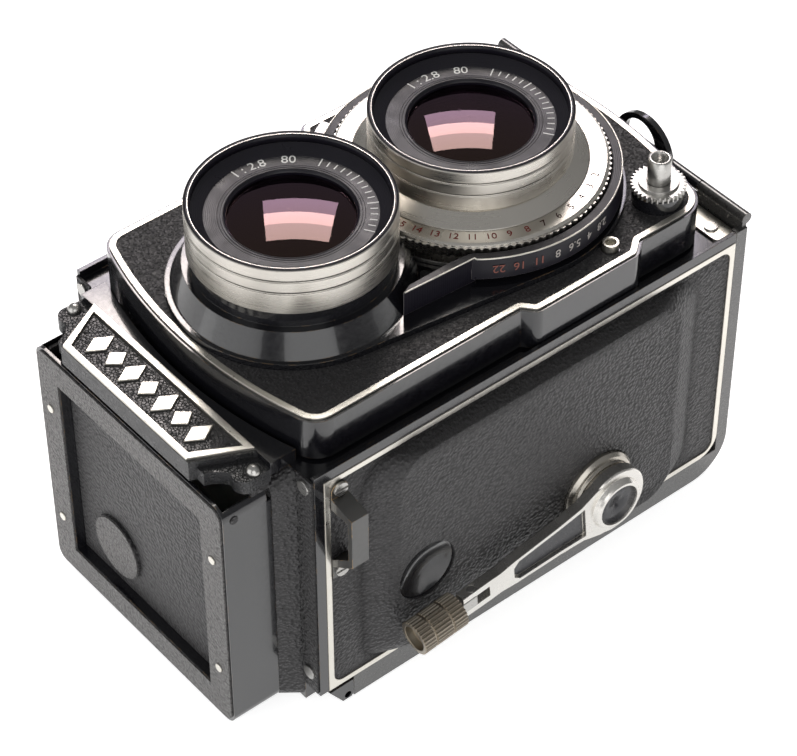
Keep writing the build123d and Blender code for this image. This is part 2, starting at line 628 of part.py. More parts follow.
with BuildPart() as crank_arm:
    bar_x(crank_y, crank_z, 3.0, hub_back, -35.2)
    tooth_wheel((crank_y, crank_z), crank_teeth, 0.0, 2.0)
    turn_x(crank_y, crank_z, [
        (hub_back, 0), (hub_back, 7.6), (hub_back - 0.8, 8.2), (arm_face + 0.3, 8.2), (arm_face, 7.9),
        (arm_face, 6.3), (hub_face + 0.5, 5.9), (hub_face, 5.6), (hub_face, 5.0), (hub_face + 0.5, 4.9),
        (hub_face + 1.1, 2.6), (hub_face + 1.3, 0),
    ])
    with BuildSketch(arm_plane(arm_face)):
        closed_face(both_sides([
            (-1.0, 7.9), (4.5, 7.0), (9.0, 5.2), (15.0, 4.4), (crank_reach - 11, 3.5),
            (crank_reach - 7, 2.9), (crank_reach - 4, 3.0), (crank_reach + 3.0, 2.9),
        ]))
    extrude(amount=arm_t)
    with BuildSketch(arm_plane(arm_face - 0.1)):
        closed_face(both_sides([
            (8.3, 4.2), (10.0, 4.0), (15.0, 3.5), (crank_reach - 12, 2.7), (crank_reach - 10.6, 1.4),
        ]))
    extrude(amount=1.1, mode=Mode.SUBTRACT)
    with BuildSketch(arm_plane(arm_face - 1)):
        with Locations((crank_reach + 0.5, 0)):
            Rectangle(9, 2.8)
    extrude(amount=6, mode=Mode.SUBTRACT)
    with Locations(Location(arm_plane(handle_x))):
        with Locations((crank_reach, 0, 0)):
            Cylinder(0.9 + run, 12, rotation=(90, 0, 0), mode=Mode.SUBTRACT)

with BuildPart() as handle_fork:
    with Locations(Location(arm_plane(handle_x))):
        with Locations((crank_reach, 0, 0)):
            Cylinder(1.3, 2.7, rotation=(90, 0, 0))
            Cylinder(0.9, 5.9, rotation=(90, 0, 0))
        with Locations((crank_reach + 2.0, 0, 0)):
            Box(4.0, 2.7, 2.6)
        with Locations((crank_reach + 8.5, 0, 0)):
            Cylinder(1.8, 10, rotation=(0, 90, 0))

with BuildPart() as crank_grip:
    with BuildSketch(Plane(origin=(handle_x, crank_y, crank_z), x_dir=(1, 0, 0), z_dir=(0, lean_s, lean_c))):
        closed_face(toothed(28, 3.9, 3.6))
    extrude(amount=crank_reach + 15.3)
    with BuildSketch(Plane(origin=(handle_x, crank_y, crank_z), x_dir=(1, 0, 0), z_dir=(0, lean_s, lean_c))):
        Circle(6)
    extrude(amount=crank_reach + 4.0, mode=Mode.SUBTRACT)
    with Locations(Location(arm_plane(handle_x))):
        with Locations((crank_reach + 10, 0, 0)):
            Cylinder(1.8 + run, 14, rotation=(0, 90, 0), mode=Mode.SUBTRACT)
        with Locations((crank_reach + 15, 0, 0)):
            Cylinder(2.9, 3, rotation=(0, 90, 0), mode=Mode.SUBTRACT)
        for along in (7.6, 12.2):
            with Locations((crank_reach + along, 0, 0)):
                Cylinder(5, 0.5, rotation=(0, 90, 0), mode=Mode.SUBTRACT)
                Cylinder(3.4, 0.5, rotation=(0, 90, 0))
                Cylinder(1.8 + run, 0.6, rotation=(0, 90, 0), mode=Mode.SUBTRACT)

# ---- Film transport -----------------------------------------------------------------------
spool_end = 32.4
with BuildPart() as take_up_spool:
    turn_x(take_up[0], take_up[1], [
        (-spool_end, 3.05), (-spool_end, spool_r), (-31.3, spool_r), (-31.3, 5.5), (31.3, 5.5),
        (31.3, spool_r),
        (spool_end, spool_r), (spool_end, 2.5 + run), (-28.5, 2.5 + run), (-28.5, 3.05),
    ])

with BuildPart() as supply_spool:
    turn_x(supply[0], supply[1], [
        (-spool_end, 3.05), (-spool_end, spool_r), (-31.3, spool_r), (-31.3, 5.5), (31.3, 5.5),
        (31.3, spool_r),
        (spool_end, spool_r), (spool_end, 2.5 + run), (-28.5, 2.5 + run), (-28.5, 3.05),
    ])

with BuildPart() as spool_gear:
    tooth_wheel(take_up, spool_teeth, spool_phase, 2.0)
    bar_x(take_up[0], take_up[1], 3.0, -38.6, -29.5)

rollers = []
for z in roller_z:
    with BuildPart() as roller:
        bar_x(roller_y, z, roller_r, -33.0, 33.0)
        bar_x(roller_y, z, 1.2, -34.4, 34.4)
    rollers.append(roller)
lower_film_roller, upper_film_roller = rollers

knobs = []
for spool in (take_up, supply):
    with BuildPart() as knob:
        bar_x(spool[0], spool[1], 2.5, 28.8, 40)
        with BuildSketch(side(39.3)):
            closed_face(toothed(40, 9.4, 9.0, spool))
        extrude(amount=4.6)
        turn_x(spool[0], spool[1], [(39.3, 0), (39.3, 8.9), (44.4, 8.6), (44.9, 8.0), (44.9, 0)])
    knobs.append(knob)
take_up_knob, supply_knob = knobs

# ---- Back cover ----------------------------------------------------------------------------
hinge_x = (4.1, 25.9)  # span of the cover's two hinge knuckles
knuckle_r = 1.4
roll_r = 1.3           # rolled front edge and latch bar
latch_half = 24.8

seam_y = 24.9          # seam between the bottom cover and the back


def cover_shape():
    """The wall and side flanges shared by the bottom cover and the back, in the part being built."""
    with BuildSketch(side(-half_w)) as outline:
        closed_face([
            (front, 0), (back, 0), (back, cover_top), (flange_y + slip, cover_top),
            (flange_y + slip, flange_z - slip),
            (front, flange_z - slip),
        ])
        fillet(outline.vertices().group_by(Axis.Y)[0].sort_by(Axis.X)[-1], corner_out)
    extrude(outline.sketch, amount=2 * half_w)
    with BuildSketch(side(-core_x - 0.15)) as hollow:
        with Locations((0, 60 + cover_wall)):
            Rectangle(2 * (back - cover_wall), 120)
        fillet(hollow.vertices().group_by(Axis.Y)[0].sort_by(Axis.X)[-1], corner_out - cover_wall)
    extrude(hollow.sketch, amount=2 * core_x + 0.3, mode=Mode.SUBTRACT)
    block(-core_x - 0.15, core_x + 0.15, front - 1, 0, cover_wall, 10, mode=Mode.SUBTRACT)


with BuildPart() as back_cover:
    cover_shape()
    block(-half_w - 1, half_w + 1, front - 1, seam_y, -1, 10, mode=Mode.SUBTRACT)
    for s in (-1, 1):
        x0, x1 = sorted((s * hinge_x[0], s * hinge_x[1]))
        bar_x(back_hinge[0], back_hinge[1], knuckle_r, x0, x1)
        block(x0, x1, back - 0.9, back - 0.1, cover_top - 1, back_hinge[1])
    bar_x(back_hinge[0], back_hinge[1], 0.8, -33.6, 33.6)

with BuildPart() as bottom_cover:
    cover_shape()
    block(-half_w - 1, half_w + 1, seam_y, back + 1, -1, cover_top + 1, mode=Mode.SUBTRACT)
    for s in (-1, 1):
        x0, x1 = sorted((s * (latch_half + 0.1), s * 38.4))
        bar_x(latch[0], latch[1], roll_r, x0, x1)
        block(x0, x1, latch[0], front + 1, 0, 1.2)
        x0, x1 = sorted((s * latch_half, s * 28.0))
        bar_x(latch[0], latch[1], 0.7 + run, x0, x1, mode=Mode.SUBTRACT)
    Cylinder(7.0, 10, mode=Mode.SUBTRACT)
    Cylinder(12.0, 1.0, mode=Mode.SUBTRACT)

with BuildPart() as tripod_socket:
    with Locations((0, 0, 0.25)):
        Cylinder(12.0, 0.5)
    with Locations((0, 0, 3.5)):
        Cylinder(6.95, 7.0)
        Cylinder(3.1, 8.0, mode=Mode.SUBTRACT)

with BuildPart() as back_leather:
    with BuildSketch(facing(back)):
        with Locations((0, 58.0)):
            RectangleRounded(68.0, 92.0, 4.0)
    extrude(amount=-0.4)

with BuildPart() as feet:
    with Locations((-30, -26, -1), (30, -26, -1), (-30, 22, -1), (30, 22, -1)):
        Cylinder(3.4, 2.0)
    chamfer(feet.edges().group_by(Axis.Z)[0], 0.4)

with BuildPart() as pressure_plate:
    block(-30, 30, 29.0, 30.0, 14.2, 70.4)
    block(-5, 5, 29.9, back - cover_wall, 30, 34)
    block(-5, 5, 29.9, back - cover_wall, 51, 55)

with BuildPart() as latch_bar:
    bar_x(latch[0], latch[1], roll_r, -latch_half + 0.1, latch_half - 0.1)
    bar_x(latch[0], latch[1], 0.7, -27.5, 27.5)
    with BuildSketch(Plane.XY.offset(-0.2)):
        with Locations((-7.9, latch[0])):
            Circle(8.3)
        with Locations((-7.0, latch[0] - 2.2)):
            Circle(4.6, mode=Mode.SUBTRACT)
        with Locations((0, latch[0] + 10)):
            Rectangle(60, 20, mode=Mode.SUBTRACT)
    extrude(amount=1.3)

# ---- Hood -----------------------------------------------------------------------------------
lid_y = (-29.7, 32.7)
lid_half = 31.1
lid_wall = 1.0
window_x = 23.6        # finder opening in the lid
window_y = (-22.5, 25.2)
flap_reach = 26.0
rivet_y = (-14.0, 17.7)
flap_span = (-24.6, 29.4)
rear_flap_y = 30.3
lens_arm = (3.6, 124.4)    # magnifier axis, (y, z)

with BuildPart() as hood_lid:
    with BuildSketch(Plane.XY.offset(118.7)):
        with Locations((0, (lid_y[0] + lid_y[1]) / 2)):
            RectangleRounded(2 * lid_half, lid_y[1] - lid_y[0], 3.0)
    extrude(amount=lid_top - 0.35 - 118.7)
    block(-lid_half + lid_wall, lid_half - lid_wall, lid_y[0] - 1, lid_y[1] - lid_wall, 118, lid_top - 1.0,
          mode=Mode.SUBTRACT)
    block(-40, 40, -40, lid_hinge[0] + 0.2, 118, 119.7, mode=Mode.SUBTRACT)
    for s in (-1, 1):
        x0, x1 = sorted((s * window_x, s * (window_x + 1)))
        block(x0, x1, window_y[0] - 1, window_y[1] + 1, 126.4, lid_top - 0.9)
    for y in (window_y[0] - 1, window_y[1]):
        block(-window_x, window_x, y, y + 1, 126.4, lid_top - 0.9)
    block(-window_x, window_x, window_y[0], window_y[1], 120, lid_top + 1, mode=Mode.SUBTRACT)
    bar_x(lid_hinge[0], lid_hinge[1], 0.9 + run, -40, 40, mode=Mode.SUBTRACT)
    for y in rivet_y:
        for x in (-27.2, 27.2):
            with Locations((x, y, lid_top - 0.4)):
                Cylinder(1.0, 0.8)

with BuildPart() as lid_leather:
    with BuildSketch(Plane.XY.offset(lid_top - 0.35)):
        with Locations((0, (lid_y[0] + lid_y[1]) / 2)):
            RectangleRounded(2 * lid_half - 1.4, lid_y[1] - lid_y[0] - 1.4, 2.4)
        with Locations((0, (window_y[0] + window_y[1]) / 2)):
            Rectangle(2 * window_x + 0.4, window_y[1] - window_y[0] + 0.4, mode=Mode.SUBTRACT)
        with Locations([(x, y) for x in (-27.2, 27.2) for y in rivet_y]):
            Circle(1.05, mode=Mode.SUBTRACT)
    extrude(amount=0.35)

with BuildPart() as finder_flap:
    block(-window_x + 0.1, window_x - 0.1, window_y[0] + 0.1, window_y[1] - 0.1, 126.5, 127.9)
    with Locations((10.2, 14.6, 128.2)):
        Cylinder(7.5, 0.8)
    for s in (-1, 1):
        x0, x1 = sorted((s * 12.7, s * 13.7))
        block(x0, x1, lens_arm[0] - 1, lens_arm[0] + 1, lens_arm[1] - 1, 126.6)
        bar_x(*lens_arm, 0.6, *sorted((s * 11.0, s * 13.0)))


def flap_corner(s):
    """Outline of a side flap: hinge line at the side, both ends cut at 45 degrees."""
    y0, y1 = flap_span
    tip = s * (flap_x - flap_reach)
    return [(s * flap_x, y0), (tip, y0 + flap_reach), (tip, y1 - flap_reach), (s * flap_x, y1)]


flaps = []
for s in (-1, 1):
    with BuildPart() as flap:
        with BuildSketch(Plane.XY.offset(flap_z - 0.3)):
            closed_face(flap_corner(s))
        extrude(amount=0.6)
        bar_y(s * flap_x, flap_z, 0.6, flap_span[0], flap_span[1])
    flaps.append(flap)
left_flap, right_flap = flaps

with BuildPart() as rear_flap:
    with BuildSketch(Plane.XY.offset(flap_z - 0.3)):
        closed_face([(-28.0, rear_flap_y), (28.0, rear_flap_y), (3.0, rear_flap_y - 25),
        (-3.0, rear_flap_y - 25)])
    extrude(amount=0.6)
    bar_x(rear_flap_y, flap_z, 0.6, -28.0, 28.0)

with BuildPart() as magnifier_frame:
    block(-12.4, 12.4, lens_arm[0] - 1, lens_arm[0] + 25.5, lens_arm[1] - 1.2, lens_arm[1] + 1.2)
    with Locations((0, 17.0, lens_arm[1])):
        Cylinder(10.5, 4, mode=Mode.SUBTRACT)
    bar_x(*lens_arm, 0.6 + run, -14, 14, mode=Mode.SUBTRACT)

with BuildPart() as magnifier_lens:
    with Locations((0, 17.0, lens_arm[1])):
        Cylinder(10.45, 2.2)
    chamfer(magnifier_lens.edges().group_by(Axis.Z)[-1], 0.5)

# ---- Write every piece ---------------------------------------------------------------------
pieces = {
    "body_shell": body_shell,
    "body_trim": body_trim,
    "body_leather": body_leather,
    "hood_base": hood_base,
    "front_cowl": front_cowl,
    "nameplate": nameplate,
    "focusing_screen": focusing_screen,
    "reflex_mirror": reflex_mirror,
    "film_chamber": film_chamber,
    "crank_flange": crank_flange,
    "strap_lugs": strap_lugs,
    "body_screws": body_screws,
    "catch_plate": catch_plate,
    "front_panel": front_panel,
    "front_trim": front_trim,
    "front_leather": front_leather,
    "lens_housing": lens_housing,
    "viewing_barrel": viewing_barrel,
    "taking_barrel": taking_barrel,
    "name_rings": name_rings,
    "viewing_lens": viewing_lens,
    "taking_lens": taking_lens,
    "shutter_case": shutter_case,
    "scale_band": scale_band,
    "speed_ring": speed_ring,
    "aperture_lever": aperture_lever,
    "release_button": release_button,
    "release_lock": release_lock,
    "focus_knob": focus_knob,
    "idler_gear": idler_gear,
    "crank_arm": crank_arm,
    "handle_fork": handle_fork,
    "crank_grip": crank_grip,
    "take_up_spool": take_up_spool,
    "supply_spool": supply_spool,
    "spool_gear": spool_gear,
    "back_cover": back_cover,
    "bottom_cover": bottom_cover,
    "tripod_socket": tripod_socket,
    "back_leather": back_leather,
    "feet": feet,
    "pressure_plate": pressure_plate,
    "latch_bar": latch_bar,
    "hood_lid": hood_lid,
    "lid_leather": lid_leather,
    "finder_flap": finder_flap,
    "rear_flap": rear_flap,
    "magnifier_frame": magnifier_frame,
    "magnifier_lens": magnifier_lens,
    "iris_blade_1": iris_blade_1,
    "iris_blade_2": iris_blade_2,
    "iris_blade_3": iris_blade_3,
    "iris_blade_4": iris_blade_4,
    "iris_blade_5": iris_blade_5,
    "lower_film_roller": lower_film_roller,
    "upper_film_roller": upper_film_roller,
    "take_up_knob": take_up_knob,
    "supply_knob": supply_knob,
    "left_flap": left_flap,
    "right_flap": right_flap,
}
os.makedirs("parts", exist_ok=True)
for label, piece in pieces.items():
    piece.part.label = label
    export_step(piece.part, f"parts/{label}.step")
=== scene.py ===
import bmesh
import bpy
import json
from math import cos, pi, radians, sin
from mathutils import Matrix, Vector


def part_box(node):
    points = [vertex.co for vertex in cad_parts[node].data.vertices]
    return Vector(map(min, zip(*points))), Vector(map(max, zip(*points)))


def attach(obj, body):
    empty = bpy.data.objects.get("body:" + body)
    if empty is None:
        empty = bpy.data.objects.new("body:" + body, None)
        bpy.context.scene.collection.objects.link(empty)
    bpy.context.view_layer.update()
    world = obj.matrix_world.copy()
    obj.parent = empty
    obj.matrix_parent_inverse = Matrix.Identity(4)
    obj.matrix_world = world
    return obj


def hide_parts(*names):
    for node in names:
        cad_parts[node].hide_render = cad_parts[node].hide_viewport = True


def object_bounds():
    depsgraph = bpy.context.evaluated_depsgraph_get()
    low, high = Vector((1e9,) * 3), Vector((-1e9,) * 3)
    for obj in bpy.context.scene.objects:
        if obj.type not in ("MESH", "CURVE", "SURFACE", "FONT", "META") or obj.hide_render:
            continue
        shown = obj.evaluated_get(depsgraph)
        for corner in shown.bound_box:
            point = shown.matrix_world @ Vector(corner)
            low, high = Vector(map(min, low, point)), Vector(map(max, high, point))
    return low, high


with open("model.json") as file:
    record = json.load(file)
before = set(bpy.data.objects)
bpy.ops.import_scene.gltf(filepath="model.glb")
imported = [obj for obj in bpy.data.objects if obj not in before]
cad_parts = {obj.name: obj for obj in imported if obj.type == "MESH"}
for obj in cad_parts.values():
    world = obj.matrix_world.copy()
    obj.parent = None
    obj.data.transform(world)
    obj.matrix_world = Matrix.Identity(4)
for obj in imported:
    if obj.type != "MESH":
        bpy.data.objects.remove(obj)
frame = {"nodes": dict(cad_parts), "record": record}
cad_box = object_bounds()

MM = 0.001
nodes = frame["nodes"]

# Driving places, in mm.
TAKE_Z = 42.4                       # taking lens axis
VIEW_Z = 88.2                       # viewing lens axis
LENSES = (("viewing", VIEW_Z, -64.6), ("taking", TAKE_Z, -64.1))   # axis and front of each rim
CRANK_Y, CRANK_Z = 12.0, 42.2       # crank axis
RELEASE_X, RELEASE_Z = -27.4, 15.5  # release button axis
BAND_FRONT = -50.5                  # front edge of the fixed band that carries the stops


# ---- Node graphs --------------------------------------------------------------------------
# Noise and cell scales are per metre. Bump depths, edge radii and grain sizes are in metres.
class Graph:
    """A material's node tree, built a node at a time."""

    def __init__(self, name):
        self.mat = bpy.data.materials.new(name)
        self.mat.use_nodes = True
        self.tree = self.mat.node_tree
        self.tree.nodes.clear()
        self.out = self.add("ShaderNodeOutputMaterial")
        self.bsdf = self.add("ShaderNodeBsdfPrincipled")
        self.link(self.bsdf.outputs[0], self.out.inputs[0])
        self.place = self.add("ShaderNodeTexCoord").outputs["Object"]

    def add(self, kind, **settings):
        node = self.tree.nodes.new(kind)
        for key, value in settings.items():
            setattr(node, key, value)
        return node

    def link(self, source, target):
        self.tree.links.new(source, target)

    def feed(self, target, value):
        """Joins an output to a socket, or sets the socket's own value."""
        if isinstance(value, bpy.types.NodeSocket):
            self.link(value, target)
        elif target.type == "RGBA" and len(value) == 3:
            target.default_value = (*value, 1.0)
        else:
            target.default_value = value

    def set(self, **values):
        for key, value in values.items():
            self.feed(self.bsdf.inputs[key.replace("_", " ")], value)

    def math(self, operation, a, b=0.0, clamp=False):
        node = self.add("ShaderNodeMath", operation=operation, use_clamp=clamp)
        self.feed(node.inputs[0], a)
        self.feed(node.inputs[1], b)
        return node.outputs[0]

    def stretch(self, scale):
        node = self.add("ShaderNodeMapping")
        self.link(self.place, node.inputs["Vector"])
        node.inputs["Scale"].default_value = scale
        return node.outputs[0]

    def noise(self, scale, detail=4.0, vector=None):
        node = self.add("ShaderNodeTexNoise")
        self.link(vector or self.place, node.inputs["Vector"])
        node.inputs["Scale"].default_value = scale
        node.inputs["Detail"].default_value = detail
        return node.outputs["Fac"]

    def cells(self, scale, feature="F1", vector=None):
        node = self.add("ShaderNodeTexVoronoi", feature=feature)
        self.link(vector or self.place, node.inputs["Vector"])
        node.inputs["Scale"].default_value = scale
        return node.outputs["Distance"]

    def span(self, value, low, high, to_low, to_high):
        node = self.add("ShaderNodeMapRange")
        for socket, item in zip(node.inputs, (value, low, high, to_low, to_high)):
            self.feed(socket, item)
        return node.outputs[0]

    def mix(self, factor, a, b):
        node = self.add("ShaderNodeMix", data_type="RGBA")
        self.feed(node.inputs[0], factor)
        self.feed(node.inputs[6], a)
        self.feed(node.inputs[7], b)
        return node.outputs[2]

    def bump(self, height, depth, strength=1.0, normal=None):
        node = self.add("ShaderNodeBump")
        node.inputs["Strength"].default_value = strength
        node.inputs["Distance"].default_value = depth
        self.link(height, node.inputs["Height"])
        if normal:
            self.link(normal, node.inputs["Normal"])
        return node.outputs[0]

    def soft_edge(self, radius):
        """A normal that rounds sharp edges, and a mask that is 1 on them."""
        bevel = self.add("ShaderNodeBevel", samples=4)
        bevel.inputs["Radius"].default_value = radius
        flat = self.add("ShaderNodeNewGeometry")
        dot = self.add("ShaderNodeVectorMath", operation="DOT_PRODUCT")
        self.link(bevel.outputs[0], dot.inputs[0])
        self.link(flat.outputs["Normal"], dot.inputs[1])
        return bevel.outputs[0], self.span(dot.outputs["Value"], 0.985, 0.8, 0.0, 1.0)

    def lens_radius(self):
        """Distance in mm from the nearer lens axis."""
        parts = self.add("ShaderNodeSeparateXYZ")
        self.link(self.place, parts.inputs[0])
        upper = self.math("GREATER_THAN", parts.outputs["Z"], (TAKE_Z + VIEW_Z) / 2 * MM)
        axis_z = self.math("ADD", self.math("MULTIPLY", upper, (VIEW_Z - TAKE_Z) * MM), TAKE_Z * MM)
        dz = self.math("SUBTRACT", parts.outputs["Z"], axis_z)
        square = self.math("ADD", self.math("POWER", parts.outputs["X"], 2), self.math("POWER", dz, 2))
        return self.math("MULTIPLY", self.math("SQRT", square), 1000.0)


BRASS = (0.42, 0.25, 0.09)


def enamel(name, colour, worn=0.35, rough=0.13):
    """Gloss enamel: slight orange peel, dust dulling, edges rubbed through to brass."""
    g = Graph(name)
    edge, mask = g.soft_edge(0.0003)
    patch = g.span(g.noise(420, 5), 0.50, 0.62, 0.0, 1.0)
    wear = g.math("MULTIPLY", g.math("MULTIPLY", mask, patch), worn, clamp=True)
    tone = g.mix(g.noise(60, 3), colour, tuple(min(1, c * 1.35 + 0.002) for c in colour))
    g.set(Base_Color=g.mix(wear, tone, BRASS), Metallic=wear, Coat_Weight=0.7, Coat_Roughness=0.06)
    g.set(Roughness=g.span(g.noise(900, 4), 0.3, 0.7, rough, rough + 0.14))
    g.set(Normal=g.bump(g.noise(1400, 3), 0.00003, 0.35, edge))
    return g.mat


def leather(name, pebble, depth, colour, rounding=0.0):
    """Pebbled leather: raised grains with painted shade darkening the creases, drawn smoothly over edges.
    """
    g = Graph(name)
    base = g.soft_edge(rounding)[0] if rounding else None
    warp = g.add("ShaderNodeVectorMath", operation="ADD")
    drift = g.add("ShaderNodeTexNoise")
    g.link(g.place, drift.inputs["Vector"])
    drift.inputs["Scale"].default_value = 500
    small = g.add("ShaderNodeVectorMath", operation="SCALE")
    g.link(drift.outputs["Color"], small.inputs[0])
    small.inputs["Scale"].default_value = 0.0006
    g.link(g.place, warp.inputs[0])
    g.link(small.outputs[0], warp.inputs[1])
    grain = g.cells(1 / pebble, "SMOOTH_F1", warp.outputs[0])
    height = g.span(grain, 0.0, 0.75, 1.0, 0.0)
    fine = g.noise(6000, 3)
    tone = g.mix(g.noise(90, 4), colour, tuple(c * 1.5 for c in colour))
    # Base colour falls to 0.3 of the hide's in the low parts of each grain: painted shade in the creases.
    crease_shade = g.mix(height, tuple(c * 0.3 for c in colour), tone)
    g.set(Base_Color=crease_shade, Roughness=g.span(height, 0.1, 0.9, 0.6, 0.34), Sheen_Weight=0.1)
    g.set(Normal=g.bump(fine, 0.00002, 0.3, g.bump(height, depth, 1.0, base)))
    return g.mat


def metal(name, colour, rough, brushed=(1, 1, 1), worn=0.0, radial=False):
    """Satin or polished metal with tool lines along one direction and rounded edges."""
    g = Graph(name)
    edge, mask = g.soft_edge(0.00025)
    lines = g.noise(1.0, 2, g.stretch(brushed))
    smudge = g.noise(110, 5)
    tone = g.mix(smudge, tuple(c * (0.93 if radial else 0.82) for c in colour), colour)
    wear = g.math("MULTIPLY", g.math("MULTIPLY", mask, g.noise(700, 4)), worn, clamp=True)
    g.set(Base_Color=g.mix(wear, tone, BRASS), Metallic=1.0)
    g.set(Roughness=g.span(g.math("ADD", lines, smudge), 0.6, 1.4, rough * 0.8, rough * 1.35))
    g.set(Normal=g.bump(lines, 0.000004, 0.035 if radial else 0.4, edge))
    if radial:
        tangent = g.add("ShaderNodeTangent", direction_type="RADIAL", axis="Y")
        g.set(Anisotropic=0.3, Tangent=tangent.outputs[0])
    return g.mat


def crackle(name):
    """Crackle paint: small glossy islands with sunk lines between them, the lines darkened by painted
    shade.
    """
    g = Graph(name)
    gap = g.cells(1500, "DISTANCE_TO_EDGE")
    height = g.span(gap, 0.0, 0.14, 0.0, 1.0)
    # Base colour is darkest along the sunk lines: painted shade in the cracks.
    g.set(Base_Color=g.mix(height, (0.004, 0.004, 0.004), (0.018, 0.018, 0.02)))
    g.set(Roughness=g.span(g.noise(700), 0.3, 0.7, 0.22, 0.42), Normal=g.bump(height, 0.00008, 0.9))
    return g.mat


def turned_black(name):
    """Black anodised aluminium with fine turned circles about the lens axes, and a painted highlight of
    light grey along its edges.
    """
    g = Graph(name)
    wave = g.math("SINE", g.math("MULTIPLY", g.lens_radius(), 2 * pi / 0.35))
    edge, mask = g.soft_edge(0.0002)
    # Sharp edges take a light grey base colour: a painted edge highlight.
    g.set(Base_Color=g.mix(mask, (0.009, 0.008, 0.013), (0.16, 0.15, 0.15)), Specular_IOR_Level=0.3)
    g.set(Roughness=g.span(g.noise(300), 0.3, 0.7, 0.26, 0.4), Normal=g.bump(wave, 0.00002, 0.35, edge))
    return g.mat


def coated_glass(name):
    """Coated lens glass: see-through, with reflections that turn from peach to violet."""
    g = Graph(name)
    facing = g.add("ShaderNodeLayerWeight")
    facing.inputs["Blend"].default_value = 0.35
    turn = g.span(facing.outputs["Facing"], 0.0, 0.75, 0.0, 1.0)
    tint = g.mix(turn, (1.0, 0.66, 0.46), (0.52, 0.36, 0.85))
    shine = g.add("ShaderNodeBsdfGlossy")
    g.feed(shine.inputs["Color"], tint)
    g.feed(shine.inputs["Roughness"], g.span(g.noise(900), 0.4, 0.8, 0.015, 0.03))
    clear = g.add("ShaderNodeBsdfTransparent")
    clear.inputs["Color"].default_value = (0.24, 0.19, 0.24, 1)
    blend = g.add("ShaderNodeMixShader")
    inside = g.add("ShaderNodeNewGeometry").outputs["Backfacing"]
    strength = g.span(facing.outputs["Facing"], 0.0, 1.0, 0.03, 0.22)
    g.feed(blend.inputs[0], g.math("MULTIPLY", strength, g.math("SUBTRACT", 1.0, inside)))
    g.link(clear.outputs[0], blend.inputs[1])
    g.link(shine.outputs[0], blend.inputs[2])
    g.link(blend.outputs[0], g.out.inputs[0])
    return g.mat


def matt(name, colour, rough=0.8, grain=2500, depth=0.00004, shine=0.5):
    """Matt paint, rubber or plastic with a fine tooth."""
    g = Graph(name)
    tone = g.mix(g.noise(160, 4), colour, tuple(c * 1.5 for c in colour))
    g.set(Base_Color=tone, Roughness=g.span(g.noise(500), 0.3, 0.7, rough - 0.1, rough + 0.1))
    g.set(Specular_IOR_Level=shine, Normal=g.bump(g.noise(grain, 2), depth, 0.6))
    return g.mat


HIDE = (0.0115, 0.010, 0.0115)
PEBBLE = 0.00066
PEBBLE_DEPTH = 0.00034

# One look for each material slot of the record.
looks = {
    "enamel": enamel("enamel", (0.004, 0.004, 0.0055)),
    "grey_enamel": enamel("grey_enamel", (0.028, 0.027, 0.026), 0.15, 0.22),
    "leather": leather("pebbled_leather", PEBBLE, PEBBLE_DEPTH, HIDE),
    "bright_trim": metal("bright_trim", (0.80, 0.77, 0.70), 0.3, (900, 900, 900), 0.3),
    "nickel": metal("turned_nickel", (0.64, 0.61, 0.56), 0.27, (60, 4000, 60), 0.0, True),
    "steel": metal("machined_steel", (0.52, 0.51, 0.49), 0.28, (500, 3000, 500)),
    "crackle": crackle("crackle_paint"),
    "inner_black": matt("inside_black", (0.010, 0.010, 0.011)),
    "worn_black": enamel("worn_black", (0.02, 0.019, 0.017), 1.0, 0.3),
    "lens_glass": coated_glass("coated_glass"),
    "ground_glass": matt("ground_glass", (0.45, 0.45, 0.43), 0.4, 6000, 0.00001),
    "silvering": metal("silvering", (0.9, 0.9, 0.9), 0.03, (50, 50, 50)),
    "black_ring": turned_black("black_ring"),
    "spool_plastic": matt("spool_plastic", (0.014, 0.014, 0.014), 0.5),
    "foot_rubber": matt("foot_rubber", (0.02, 0.02, 0.02), 0.85),
    "brass": metal("brass", (0.72, 0.52, 0.22), 0.25, (400, 400, 400)),
}
white_fill = matt("white_fill", (0.62, 0.62, 0.60), 0.5)
grey_fill = matt("grey_fill", (0.30, 0.28, 0.26), 0.6)
rust_fill = matt("rust_fill", (0.20, 0.08, 0.065), 0.6, shine=0.1)
red_fill = matt("red_fill", (0.13, 0.014, 0.012), 0.7, shine=0.1)
dark_fill = matt("dark_fill", (0.03, 0.006, 0.006), 0.7, shine=0.1)
dish_black = matt("dish_black", (0.018, 0.018, 0.021), 0.3)

# Nodes whose finish differs from the rest of their slot. The lid's leather is also made lighter, which is
# painted light.
# The lid's leather has a finer grain of its own, and a base colour about nine times the side leather's:
# that lighter colour is painted light, a lit copy of the same black leather.
lit_lid_leather = leather("lid_leather", 0.00045, 0.0002, (0.10, 0.095, 0.092))
own_looks = {
    "body_leather": leather("side_leather", PEBBLE, PEBBLE_DEPTH, HIDE, 0.005),
    "lid_leather": lit_lid_leather,
    "crank_arm": metal("crank_metal", (0.78, 0.76, 0.72), 0.24, (300, 300, 300), 0.15),
    "crank_flange": metal("flange_metal", (0.5, 0.47, 0.42), 0.26, (300, 300, 300), 0.5),
    "crank_grip": metal("grip_metal", (0.40, 0.36, 0.30), 0.3, (700, 700, 700), 0.6),
}
for part in frame["record"]["subparts"]:
    node_name = part["node"]
    materials = nodes[node_name].data.materials
    materials.clear()
    materials.append(own_looks.get(node_name, looks[part["material_slot"]]))


# ---- Builders of pieces ---------------------------------------------------------------------
# Each takes lengths in mm, the body the piece rides on and the record's material slot.
def piece(name, mesh, body, slot_name, look=None):
    obj = bpy.data.objects.new(name, mesh)
    bpy.context.scene.collection.objects.link(obj)
    mesh.materials.clear()
    mesh.materials.append(look or looks[slot_name])
    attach(obj, body)
    return obj


